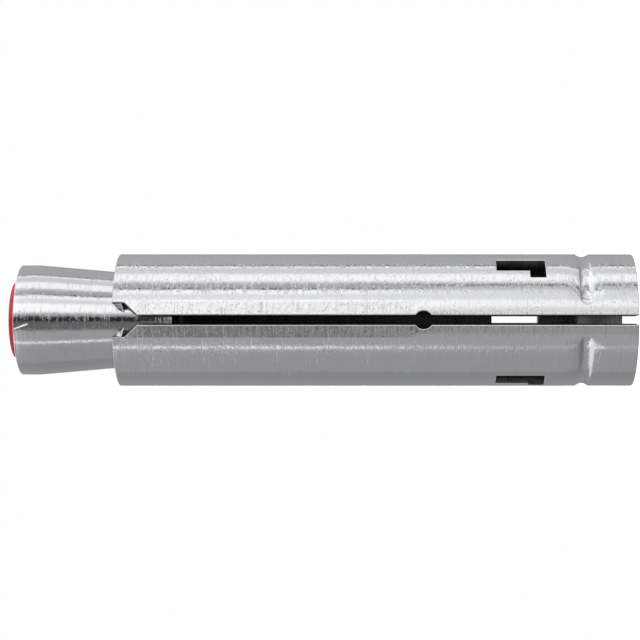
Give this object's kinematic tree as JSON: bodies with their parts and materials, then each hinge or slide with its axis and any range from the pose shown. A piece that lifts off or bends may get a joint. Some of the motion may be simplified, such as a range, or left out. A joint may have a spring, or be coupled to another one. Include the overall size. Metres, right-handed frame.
{
  "type": "sleeve anchor",
  "caption": "Heavy-duty sleeve anchor: a slotted steel expansion sleeve with a threaded cone nut seated in its mouth and a red plastic plug in the cone's far end.",
  "frame": {"origin": "middle of the sleeve's open end, the end that the anchor stands on", "axes": "+Z along the anchor's axis towards the cone; the sleeve's open seam faces -Y"},
  "size_m": [0.012, 0.012, 0.056],
  "materials": {
    "sleeve_steel": "zinc plated, drawn marks round the sleeve",
    "cone_steel": "zinc plated, turned",
    "plug_plastic": "moulded"
  },
  "bodies": {
    "root": {"expansion_sleeve": "sleeve_steel", "cone_nut": "cone_steel", "dust_plug": "plug_plastic"}
  },
  "joints": []
}
